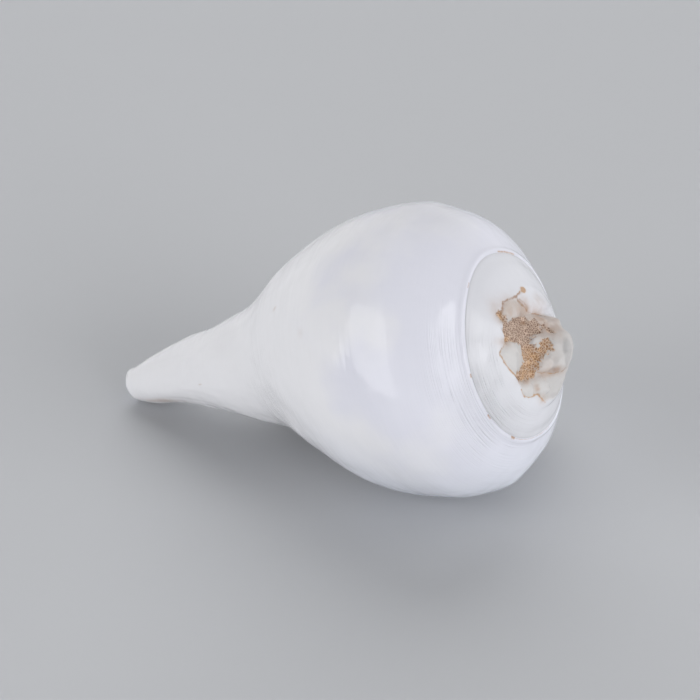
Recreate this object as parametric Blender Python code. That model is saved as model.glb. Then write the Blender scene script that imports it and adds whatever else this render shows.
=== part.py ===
"""Sacred chank shell (conch), worn and polished, lying on its aperture.

The shell is one body, made as a single closed skin. It is worked out in the shell's own
frame, in millimetres: the coiling axis is z, with the apex up and the last suture near
z = 0. A place on a whorl is an azimuth, counted in degrees backwards from the outer lip,
and a depth, which is how far below the suture it lies on the outline. The skin is made of
the body whorl, the ramp of the whorl above it, the worn apex, the inner wall and the
outer wall of the aperture, and the rounded rims that join them.
"""

import math

import bmesh
import bpy
import numpy as np

MM = 0.001

# Outline of the body whorl, seen at OUTLINE_DEG: depth below the suture and radius.
OUTLINE = (
    (0.0, 22.5),
    (5.0, 29.5),
    (14.0, 35.5),
    (28.0, 36.6),
    (42.0, 33.5),
    (54.0, 26.6),
    (66.0, 17.5),
    (80.0, 12.4),
    (95.0, 8.2),
    (108.0, 6.4),
    (115.0, 5.0),
)
OUTLINE_DEG = 194.0

# Growth in one turn: the whorl gets wider, and deeper below a virtual apex.
GIRTH_GROWTH = 1.35
SUTURE_GROWTH = 1.50
DEPTH_GROWTH = 1.44
VIRTUAL_APEX = 15.0
GROWTH_FADES = (48.0, 92.0)
WHOLE_GROWTH_DEPTH = 14.0

# The neck of the siphonal canal and the spire stand a little off the coiling axis.
NECK_BEND = (8.4, -3.0)
NECK_FROM_TO = (42.0, 83.5)
SPIRE_LEAN = (0.3, 1.3)
SPIRE_TO = 36.0

# The lip climbs onto the whorl before it at SUTURE_DEPTH, over these degrees behind the lip
# and this depth of the whorl.
SUTURE_DEPTH = 6.3
CLIMB_DEG = 90.0
CLIMB_DEPTH = 12.0

# The wall gets thinner between these depths, and is level at the canal's end.
WALL_BODY = 3.4
WALL_TIP = 1.7
WALL_THINS = (50.0, 110.0)
WALL_LEVELS = (95.0, 112.0)

# Inner wall of the aperture, from the parietal wall down the columella to the canal.
COLUMELLA = (
    (0.0, 22.0),
    (8.0, 26.0),
    (18.0, 28.0),
    (28.0, 26.0),
    (38.0, 20.5),
    (47.0, 13.5),
    (56.0, 9.0),
    (70.0, 7.2),
    (86.0, 5.0),
    (100.0, 2.6),
    (116.0, 0.8),
)
TURNS_IN_DEG = (350.0, 425.0)
CANAL_TURNS_IN_DEG = (318.0, 357.0)
CANAL_HEIGHTS = (40.0, 75.0)

# The aperture's length inwards, which is shorter in the canal, and the plaits on the columella.
APERTURE_DEG = 235.0
CANAL_DEG = 190.0
APERTURE_SHORTENS = (55.0, 90.0)
PLAITS_START_DEG = (360.0, 385.0)
PLAITS_END_DEG = (470.0, 540.0)
PLAIT_DEPTHS = (44.0, 49.5, 55.0)
PLAIT_HEIGHT = 1.3
PLAIT_HALF_WIDTH = 2.0

# Between the two walls there is at least this gap, and they close from this share inwards.
LEAST_GAP = 1.2
CLOSES_FROM = 0.72

# A low welt runs along the body whorl just below the suture.
WELT_DEPTH = 1.7
WELT_HALF_WIDTH = 1.3
WELT_HEIGHT = 0.5
WELT_OUT_AND_UP = (0.6, 0.8)
WELT_STARTS_DEG = (10.0, 60.0)
WELT_ENDS_DEG = (330.0, 360.0)

# Uneven growth and wear of the outside: azimuth, depth, their half widths, and height.
SWELLINGS = (
    (297.0, 12.0, 11.0, 4.5, 1.3),
    (316.0, 6.0, 9.0, 3.5, 0.8),
    (118.0, 93.0, 40.0, 10.0, 1.6),
    (125.0, 114.0, 45.0, 4.0, -0.8),
    (270.0, 73.0, 25.0, 4.5, 0.5),
)

# Worn apex: a low plateau with a recess and rounded lumps (x, y, radius, height), which
# blend where they meet. The first lump is the knob, what is left of the earliest whorls.
PLATEAU = 5.4
PLATEAU_DROP = 0.012
LUMPS = (
    (-3.2, 0.6, 8.7, 8.2),
    (7.4, -8.4, 5.4, 2.2),
    (-3.5, -7.5, 6.0, 4.2),
    (8.8, 3.4, 5.0, 1.8),
    (-1.5, 9.5, 5.6, 3.6),
    (4.6, 11.0, 5.0, 2.0),
    (-11.0, 1.0, 6.0, 2.6),
)
RECESS = (4.2, 0.6, 7.0, 1.8)
LUMP_ROUNDNESS = 0.8
LUMP_BLEND = 4
RECESS_EDGE = 4

# How the shell lies: the apex end raised, and the turn about its own axis.
TILT_DEG = 21.8
UPPERMOST_DEG = 128.0

SHELL_COLOUR = (0.83, 0.83, 0.84, 1.0)
SHELL_ROUGHNESS = 0.2

# Rows down the whorl, by depth, and columns round the aperture.
SHOULDER_ROWS = (0.0, 0.8, 2.0, 3.6, 4.9, 6.3, 8.6, 11.5)
BODY_ROWS = (15.0, 19.5, 24.5, 30.0, 35.5, 41.0)
PLAIT_ROWS = 11
PLAIT_ROW_STEP = 2.0
NECK_ROWS = (67.0, 72.0, 77.5, 83.5, 90.0, 96.5, 102.5, 108.0, 112.0, 115.0)
SUTURE_ROW = 5
CORNER_ROW = 7
OLD_WHORL_DEG = 180.0
APERTURE_COLUMNS = 22
BODY_COLUMNS = 2 * APERTURE_COLUMNS + 1
APEX_RINGS = 9
RIM_ROWS = 2

# How far the rounded rims stand proud, as a share of their width, and over how many points
# that starts and ends.
LIP_BULGE = 0.5
LIP_BULGE_STARTS = 4.0
LIP_BULGE_ENDS = 3.0
TIP_BULGE = 0.4
TIP_BULGE_MOST = 0.9
TIP_BULGE_ENDS = 10.0
TIP_BULGE_AT_CORNER = 4.0

# Steps of the numerical work: along the outline, down the inner wall, and round the aperture.
SLOPE_STEP = 0.5
INNER_WALL_STEPS = 400
AZIMUTH_PASSES = 4


def smooth(value, low, high):
    t = np.clip((value - low) / (high - low), 0.0, 1.0)
    return t * t * (3.0 - 2.0 * t)


def curve_through(points, values):
    """A smooth curve through the points, as the second number at each first number."""
    x, y = np.array(points, float).T
    slope = np.gradient(y, x)
    i = np.clip(np.searchsorted(x, values, side="right") - 1, 0, len(x) - 2)
    step = x[i + 1] - x[i]
    t = np.clip((values - x[i]) / step, 0.0, 1.0)
    near = (2 * t**3 - 3 * t**2 + 1) * y[i] + (t**3 - 2 * t**2 + t) * step * slope[i]
    far = (3 * t**2 - 2 * t**3) * y[i + 1] + (t**3 - t**2) * step * slope[i + 1]
    return near + far


def whorl(azimuth, depth):
    """Radius and height of the outside of a whorl."""
    turns = (OUTLINE_DEG - azimuth) / 360.0
    grows = 1.0 - smooth(depth, *GROWTH_FADES)
    body = smooth(depth, 0.0, WHOLE_GROWTH_DEPTH)
    girth = math.log(SUTURE_GROWTH) * (1.0 - body) + math.log(GIRTH_GROWTH) * body
    radius = curve_through(OUTLINE, depth) * np.exp(girth * turns * grows)
    height = VIRTUAL_APEX - (VIRTUAL_APEX + depth) * DEPTH_GROWTH ** (turns * grows)
    for place, below, half_turn, half_depth, rise in SWELLINGS:
        off = ((azimuth - place) / half_turn) ** 2 + ((depth - below) / half_depth) ** 2
        radius = radius + rise * np.exp(-off)
    seen = smooth(azimuth, *WELT_STARTS_DEG) * (1.0 - smooth(azimuth, *WELT_ENDS_DEG))
    welt = WELT_HEIGHT * seen * np.exp(-(((depth - WELT_DEPTH) / WELT_HALF_WIDTH) ** 2))
    out, up = WELT_OUT_AND_UP
    return radius + out * welt, height + up * welt


def body_whorl(azimuth, depth):
    """As whorl, with its upper edge drawn onto the whorl before it near the lip."""
    radius, height = whorl(azimuth, depth)
    seat_radius, seat_height = whorl(360.0, SUTURE_DEPTH)
    edge_radius, edge_height = whorl(0.0, 0.0)
    share = (1.0 - smooth(azimuth, 0.0, CLIMB_DEG)) * (1.0 - smooth(depth, 0.0, CLIMB_DEPTH))
    return (
        radius + share * (seat_radius - edge_radius),
        height + share * (seat_height - edge_height),
    )


def placed(azimuth, radius, height):
    """Points in the shell's frame, with the neck's bend."""
    angle = np.radians(azimuth - OUTLINE_DEG)
    bend = smooth(-height, *NECK_FROM_TO)
    lean = 1.0 - smooth(-height, 0.0, SPIRE_TO)
    return np.stack(
        [
            radius * np.cos(angle) + NECK_BEND[0] * bend + SPIRE_LEAN[0] * lean,
            radius * np.sin(angle) + NECK_BEND[1] * bend + SPIRE_LEAN[1] * lean,
            height + 0.0 * radius,
        ],
        axis=-1,
    )


def wall_thickness(depth):
    return WALL_BODY + (WALL_TIP - WALL_BODY) * smooth(depth, *WALL_THINS)


def aperture_depth_deg(height):
    return APERTURE_DEG + (CANAL_DEG - APERTURE_DEG) * smooth(-height, *APERTURE_SHORTENS)


def inner_wall(azimuth, depth):
    """The whorl before the lip, which turns in to the columella behind the aperture's edge."""
    radius, height = whorl(azimuth, depth)
    canal = smooth(-height, *CANAL_HEIGHTS)
    starts = TURNS_IN_DEG[0] + (CANAL_TURNS_IN_DEG[0] - TURNS_IN_DEG[0]) * canal
    ends = TURNS_IN_DEG[1] + (CANAL_TURNS_IN_DEG[1] - TURNS_IN_DEG[1]) * canal
    turned_in = smooth(azimuth, starts, ends)
    columella = np.minimum(curve_through(COLUMELLA, -height), radius)
    radius = radius + turned_in * (columella - radius)
    inside = smooth(azimuth, *PLAITS_START_DEG) * (1.0 - smooth(azimuth, *PLAITS_END_DEG))
    for plait in PLAIT_DEPTHS:
        off = (-height - plait) / PLAIT_HALF_WIDTH
        radius = radius + inside * PLAIT_HEIGHT * np.exp(-off * off)
    return radius, height


def inner_radius_at(azimuth, height):
    """Radius of the inner wall at a given height, behind the outer wall's points."""
    depths = np.linspace(0.0, OUTLINE[-1][0], INNER_WALL_STEPS)
    found = np.empty_like(height)
    for place in np.ndindex(height.shape):
        radius, heights = inner_wall(azimuth[place] + 360.0, depths)
        found[place] = np.interp(-height[place], -heights, radius)
    return found


def outer_wall(azimuth, depth, opened):
    """The inside of the last whorl's wall, closing onto the inner wall where opened is 0."""
    radius, height = body_whorl(azimuth, depth)
    above = np.maximum(depth - SLOPE_STEP, 0.0)
    below = np.minimum(depth + SLOPE_STEP, OUTLINE[-1][0])
    radius_up, height_up = body_whorl(azimuth, above)
    radius_down, height_down = body_whorl(azimuth, below)
    along = np.hypot(radius_down - radius_up, height_down - height_up)
    level = 1.0 - smooth(depth, *WALL_LEVELS)
    out_r = (height_up - height_down) / along
    out_z = (radius_down - radius_up) / along * level
    wall = wall_thickness(depth)
    radius, height = radius - wall * out_r, height - wall * out_z
    behind = inner_radius_at(azimuth, height) + LEAST_GAP
    return np.maximum(behind + opened * (radius - behind), behind), height


def apex_height(x, y):
    """Height of the worn apex over the plane of the suture."""
    lumps = 0.0
    for lump_x, lump_y, size, rise in LUMPS:
        distance = np.hypot(x - lump_x, y - lump_y) / size
        dome = np.maximum(1.0 - distance**2, 0.0) ** LUMP_ROUNDNESS
        lumps = lumps + (rise * dome) ** LUMP_BLEND
    recess_x, recess_y, size, fall = RECESS
    distance = np.hypot(x - recess_x, y - recess_y) / size
    plateau = PLATEAU - PLATEAU_DROP * (x * x + y * y) - fall * np.exp(-(distance**RECESS_EDGE))
    return plateau + lumps ** (1.0 / LUMP_BLEND)


def row_depths():
    """The rows' depths: close together at the suture and over the plaits."""
    plaits = [BODY_ROWS[-1] + PLAIT_ROW_STEP * n for n in range(1, PLAIT_ROWS + 1)]
    return np.array([*SHOULDER_ROWS, *BODY_ROWS, *plaits, *NECK_ROWS])


class Skin:
    """Collects the shell's points and faces."""

    def __init__(self):
        self.points = []
        self.faces = []

    def add(self, points):
        """Adds an array of points, and returns their numbers in the same shape."""
        flat = np.asarray(points).reshape(-1, 3)
        first = len(self.points)
        self.points.extend(flat)
        return np.arange(first, first + len(flat)).reshape(np.shape(points)[:-1])

    def grid(self, ids):
        """Faces between the rows and columns of a grid of point numbers."""
        for upper, lower in zip(ids[:-1], ids[1:]):
            for corner in zip(upper[:-1], upper[1:], lower[1:], lower[:-1]):
                ring = list(dict.fromkeys(int(n) for n in corner))
                if len(ring) > 2:
                    self.faces.append(ring)

    def zip_rows(self, left, right):
        """Triangles between two rows that have different numbers of points."""
        i = j = 0
        while i < len(left) - 1 or j < len(right) - 1:
            here = self.point([left[i], right[j]])
            ahead = self.point([left[min(i + 1, len(left) - 1)], right[min(j + 1, len(right) - 1)]])
            left_is_next = np.linalg.norm(ahead[0] - here[1]) <= np.linalg.norm(ahead[1] - here[0])
            if j == len(right) - 1 or (i < len(left) - 1 and left_is_next):
                self.faces.append([int(left[i]), int(left[i + 1]), int(right[j])])
                i += 1
            else:
                self.faces.append([int(left[i]), int(right[j + 1]), int(right[j])])
                j += 1

    def point(self, ids):
        return np.array([self.points[int(n)] for n in ids])


def add_body(skin, depths):
    """The outside of the body whorl, from the lip back to the whorl that it grew over."""
    azimuths = np.linspace(0.0, 360.0, BODY_COLUMNS + 1)
    azimuth, depth = np.meshgrid(azimuths, depths, indexing="ij")
    radius, height = body_whorl(azimuth, depth)
    inner_radius, inner_height = inner_wall(azimuth, depth)
    old = azimuth > OLD_WHORL_DEG
    radius = np.where(old, inner_radius, radius)
    height = np.where(old, inner_height, height)
    body = skin.add(placed(azimuth, radius, height))
    body[0, 0] = body[-1, SUTURE_ROW]
    return body


def add_ramp(skin, depths, body):
    """The band of the whorl above that still shows, between two sutures."""
    azimuths = np.linspace(360.0, 720.0, BODY_COLUMNS + 1)
    rows = depths[: SUTURE_ROW + 1]
    azimuth, depth = np.meshgrid(azimuths, rows, indexing="ij")
    radius, height = whorl(azimuth, depth)
    edge_radius, edge_height = body_whorl(azimuths - 360.0, 0.0 * azimuths)
    share = rows / rows[-1]
    radius = radius + share * (edge_radius - radius[:, -1])[:, None]
    height = height + share * (edge_height - height[:, -1])[:, None]
    ramp = skin.add(placed(azimuth, radius, height)[:, :-1])
    ramp = np.hstack([ramp, body[:, :1]])
    ramp[0] = body[-1, : SUTURE_ROW + 1]
    skin.grid(ramp)
    return ramp


def add_apex(skin, ramp):
    """The worn top, in rings from the ramp's inner edge to the knob's middle."""
    edge = np.concatenate([ramp[:, 0], ramp[-1, 1:-1]])
    rim = skin.point(edge) - np.array([*SPIRE_LEAN, 0.0])
    rest = rim[:, 2] - apex_height(rim[:, 0], rim[:, 1])
    girth = np.hypot(rim[:, 0], rim[:, 1])
    angle = np.unwrap(np.arctan2(rim[:, 1], rim[:, 0]))
    even = angle[BODY_COLUMNS] + 2.0 * math.pi * (np.arange(len(edge)) - BODY_COLUMNS) / len(edge)
    rings = [edge]
    for ring in range(1, APEX_RINGS):
        share = 1.0 - ring / APEX_RINGS
        spread = smooth(1.0 - share, 0.0, 0.5)
        turn = angle + (even - angle) * spread
        reach = share * (girth + (girth.mean() - girth) * spread)
        x = reach * np.cos(turn) + (1.0 - share) * LUMPS[0][0]
        y = reach * np.sin(turn) + (1.0 - share) * LUMPS[0][1]
        z = apex_height(x, y) + rest * share**4
        rings.append(skin.add(np.stack([x + SPIRE_LEAN[0], y + SPIRE_LEAN[1], z], axis=-1)))
    x, y = LUMPS[0][:2]
    middle = skin.add([[x + SPIRE_LEAN[0], y + SPIRE_LEAN[1], float(apex_height(x, y))]])
    rings.append(np.repeat(middle, len(edge)))
    skin.grid(np.array([np.append(ring, ring[0]) for ring in rings]))


def aperture_azimuth(turn, depth, whorl_shape, lap):
    """Azimuths over the aperture's length, which is shorter in the canal."""
    azimuth = turn * APERTURE_DEG
    for _ in range(AZIMUTH_PASSES):
        azimuth = turn * aperture_depth_deg(whorl_shape(azimuth + lap, depth)[1])
    return azimuth + lap


def add_aperture(skin, depths, body):
    """The two walls of the aperture, which close on each other at its inner end."""
    turns = np.linspace(0.0, 1.0, APERTURE_COLUMNS + 1)
    turn, depth = np.meshgrid(turns, depths[CORNER_ROW:], indexing="ij")
    azimuth = aperture_azimuth(turn, depth, whorl, 360.0)
    inner = skin.add(placed(azimuth, *inner_wall(azimuth, depth)))
    inner[0] = body[-1, CORNER_ROW:]
    skin.grid(inner)

    turn, depth = np.meshgrid(turns, depths[CORNER_ROW - SUTURE_ROW + 1 :], indexing="ij")
    azimuth = aperture_azimuth(turn, depth, body_whorl, 0.0)
    closing = np.clip((turn - CLOSES_FROM) / (1.0 - CLOSES_FROM), 0.0, 1.0)
    outer = skin.add(placed(azimuth, *outer_wall(azimuth, depth, np.sqrt(1.0 - closing**2))))
    skin.grid(outer)
    skin.grid(np.stack([inner[:, 0], outer[:, 0]]))
    skin.zip_rows(outer[-1], inner[-1])
    return inner, outer


def add_rim(skin, outside, inside, lead, bulge, first=None):
    """A rounded rim between two edges with the same number of points."""
    a, b = skin.point(outside), skin.point(inside)
    joined = outside == inside
    rows = [outside]
    for step in range(1, RIM_ROWS):
        angle = math.pi * step / RIM_ROWS
        share = 0.5 - 0.5 * math.cos(angle)
        row = skin.add(a + (b - a) * share + lead * bulge[:, None] * math.sin(angle))
        row[joined] = outside[joined]
        if first is not None:
            row[0] = first[step]
        rows.append(row)
    rows.append(inside)
    skin.grid(np.stack(rows))
    return [row[-1] for row in rows]


def add_rims(skin, body, inner, outer):
    """The outer lip's edge, and the blunt end of the canal."""
    inside = np.concatenate([body[-1, SUTURE_ROW : CORNER_ROW + 1], outer[0]])
    ahead = skin.point(body[0]) - skin.point(body[1])
    ahead[:, 2] = 0.0
    ahead /= np.linalg.norm(ahead, axis=1)[:, None]
    bulge = LIP_BULGE * np.linalg.norm(skin.point(body[0]) - skin.point(inside), axis=1)
    count = np.arange(len(inside))
    bulge *= np.clip(count / LIP_BULGE_STARTS, 0.0, 1.0)
    bulge *= np.clip((count[::-1] + 1) / LIP_BULGE_ENDS, 0.0, 1.0)
    last = add_rim(skin, body[0], inside, ahead, bulge)

    inside = np.concatenate([outer[:, -1], inner[::-1, -1]])
    bulge = TIP_BULGE * np.linalg.norm(skin.point(body[:, -1]) - skin.point(inside), axis=1)
    down = np.array([0.0, 0.0, -1.0])
    count = np.arange(len(bulge))
    to_corner = np.abs(count - APERTURE_COLUMNS - 0.5)
    bulge = np.minimum(bulge, TIP_BULGE_MOST)
    bulge *= np.clip(count[::-1] / TIP_BULGE_ENDS, 0.0, 1.0)
    bulge *= np.clip(to_corner / TIP_BULGE_AT_CORNER, 0.0, 1.0)
    add_rim(skin, body[:, -1], inside, down, bulge, last)


def lay_down(points):
    """Turns the shell to how it lies, and stands it on the floor with its box centred."""
    upward = math.radians(UPPERMOST_DEG - OUTLINE_DEG)
    tilt = math.radians(TILT_DEG)
    x, y, z = points.T
    up = x * math.cos(upward) + y * math.sin(upward)
    aside = x * math.sin(upward) - y * math.cos(upward)
    laid = np.stack(
        [
            z * math.cos(tilt) - up * math.sin(tilt),
            aside,
            z * math.sin(tilt) + up * math.cos(tilt),
        ],
        axis=-1,
    )
    low, high = laid.min(axis=0), laid.max(axis=0)
    return laid - np.array([(low[0] + high[0]) / 2.0, (low[1] + high[1]) / 2.0, low[2]])


def shell_material():
    material = bpy.data.materials.new("shell")
    material.use_nodes = True
    shader = material.node_tree.nodes["Principled BSDF"]
    shader.inputs["Base Color"].default_value = SHELL_COLOUR
    shader.inputs["Roughness"].default_value = SHELL_ROUGHNESS
    return material


def shell_skin():
    """The whole closed skin, in the shell's own frame."""
    skin = Skin()
    depths = row_depths()
    body = add_body(skin, depths)
    skin.grid(body)
    ramp = add_ramp(skin, depths, body)
    add_apex(skin, ramp)
    inner, outer = add_aperture(skin, depths, body)
    add_rims(skin, body, inner, outer)
    return skin


def main():
    for old in list(bpy.data.objects):
        bpy.data.objects.remove(old, do_unlink=True)
    skin = shell_skin()
    used = sorted({n for face in skin.faces for n in face})
    number = {old: new for new, old in enumerate(used)}
    points = lay_down(np.array(skin.points)[used]) * MM
    faces = [[number[n] for n in face] for face in skin.faces]
    mesh = bpy.data.meshes.new("shell")
    mesh.from_pydata(points.tolist(), [], faces)
    mesh.materials.append(shell_material())
    shell = bpy.data.objects.new("shell", mesh)
    bpy.context.collection.objects.link(shell)

    work = bmesh.new()
    work.from_mesh(mesh)
    bmesh.ops.recalc_face_normals(work, faces=work.faces)
    if work.calc_volume(signed=True) < 0.0:
        bmesh.ops.reverse_faces(work, faces=work.faces)
    for face in work.faces:
        face.smooth = True
    work.to_mesh(mesh)
    work.free()


main()
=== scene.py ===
import math

import bpy
import numpy as np
from mathutils import Matrix, Vector, noise


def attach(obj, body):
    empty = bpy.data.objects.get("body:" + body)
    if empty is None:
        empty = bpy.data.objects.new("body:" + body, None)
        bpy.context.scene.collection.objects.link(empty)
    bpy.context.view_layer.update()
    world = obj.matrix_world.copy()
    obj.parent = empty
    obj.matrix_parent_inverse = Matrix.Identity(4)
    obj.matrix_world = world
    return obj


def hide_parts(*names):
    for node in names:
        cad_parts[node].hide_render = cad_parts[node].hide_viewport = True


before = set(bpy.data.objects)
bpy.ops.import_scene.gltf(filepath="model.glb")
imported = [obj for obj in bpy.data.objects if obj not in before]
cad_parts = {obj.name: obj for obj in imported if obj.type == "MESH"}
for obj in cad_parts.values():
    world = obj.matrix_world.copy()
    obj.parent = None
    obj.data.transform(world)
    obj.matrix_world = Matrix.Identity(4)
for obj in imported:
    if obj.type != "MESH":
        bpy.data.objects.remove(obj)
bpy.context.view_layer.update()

mm = 0.001
far = 9.0           # further than any mark reaches, in millimetres

# What a user would change about the shell. Lengths are in millimetres and angles in degrees.
# Azimuth runs backwards from the outer lip, depth runs down from the suture. A pair that ends in
# FromTo or Fades is where a change starts and where it is complete.
shell = {
    # radius at each depth, for the azimuth in outlineAt
    "outline": ((0, 22.5), (5, 29.5), (14, 35.5), (28, 36.6), (42, 33.5), (54, 26.6), (66, 17.5),
                (80, 12.4), (95, 8.2), (108, 6.4), (115, 4.7)),
    "outlineAt": 194,
    # growth in one turn
    "girthGrowth": 1.35, "sutureGrowth": 1.50, "depthGrowth": 1.44,
    "girthFromTo": (0, 14), "growthFades": (48, 92), "virtualApex": 15,
    "neckBend": (8.4, -3.0), "neckFromTo": (42, 83.5), "spireLean": (0.3, 1.3), "spireTo": 36,
    # where on the whorl before it the suture lies, and how far back and down from the lip's top
    # the edge is drawn onto it
    "sutureDepth": 6.3, "seatedBack": 90, "seatedDown": 12,
    "wallBody": 3.4, "wallTip": 1.7, "wallFromTo": (50, 110), "wallSlopeFades": (95, 112),
    # radius at each distance down the axis
    "columella": ((0, 22), (8, 26), (18, 28), (28, 26), (38, 20.5), (47, 13.5), (56, 9), (70, 7.2),
                  (86, 5), (100, 2.6), (116, 0.8)),
    # where the wall turns in to the columella, and how much sooner it does at the canal
    "turnsInFromTo": (350, 425), "soonerAtCanal": (32, 68), "canalFromTo": (40, 75),
    "apertureTurn": 235, "canalTurn": 190, "canalTurnFromTo": (55, 90),
    "leastGap": 1.2, "closesFrom": 0.72,
    "plaits": (44, 49.5, 55), "plaitHeight": 1.3, "plaitHalfWidth": 2.0,
    "plaitsFromTo": (360, 385), "plaitsFades": (470, 540),
    # swellings: azimuth, depth, half widths, height
    "swellings": ((297, 12, 11, 4.5, 1.0), (322, 4.5, 20, 6, 1.3), (128, 0, 22, 5, 1.0),
                  (145, 0, 28, 2.5, 0.6), (118, 93, 40, 10, 1.6), (125, 114, 45, 4, -0.8),
                  (270, 73, 25, 4.5, 0.5), (110, 110, 45, 7, -0.7), (284, 112, 45, 7, 0.9)),
    # the welt along the suture, and the groove beside it
    "weltDepth": 0.45, "weltHalfWidth": 0.5, "weltHeight": 0.28,
    "grooveHalfWidth": 0.2, "grooveDepth": 0.2,
    "weltOutward": 0.6, "weltUpward": 0.8, "grooveInward": 0.5, "grooveDownward": 0.8,
    "weltFromTo": (10, 60), "weltFades": (330, 360), "rampFromTo": (370, 420), "rampFades": (690, 720),
    # a small step on the ramp beside the groove, then a trough: rise, and distances from the suture
    "stepRise": 0.06, "stepFromTo": (0.5, 0.7), "trough": 0.3, "troughAt": 1.2, "troughHalfWidth": 1.0,
    # slow waves over the body: height, and size in degrees and millimetres
    "undulation": 0.16, "undulationSize": (16, 9),
    "wavesFromTo": (3, 9), "wavesFades": (90, 112),
    "wavesBackFromTo": (0, 20), "wavesBackFades": (330, 356),
    # share of the wall that its rim bulges by, and over how many rows or columns it rises
    "lipBulge": 0.5, "lipRows": (14, 8), "tipBulge": 0.4, "tipBulgeMost": 0.9, "tipColumns": (50, 20),
    # the mesh: columns in half a turn, rings on the apex, and rows down the whorl
    "columns": 110, "apexRings": 84, "rimRows": 7,
    "fineRows": ((0, 1.4, 0.14), (1.4, 4.6, 0.27)),                       # from, to, step
    "sutureRows": (4.9, 5.2, 5.45, 5.65, 5.82, 5.96, 6.08, 6.19, 6.3),
    "cornerRows": (6.3, 11.5, 12),                                        # from, to, how many
    "bodyRows": ((11.5, 41, 36), (41, 66, 40), (66, 115, 48)),
    # how it lies: its slope, the azimuth that is uppermost, and how far it is moved to its place
    "tilt": 21.8, "uppermost": 128.0, "middleFrom": (48.651, -2.673),
}

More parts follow.
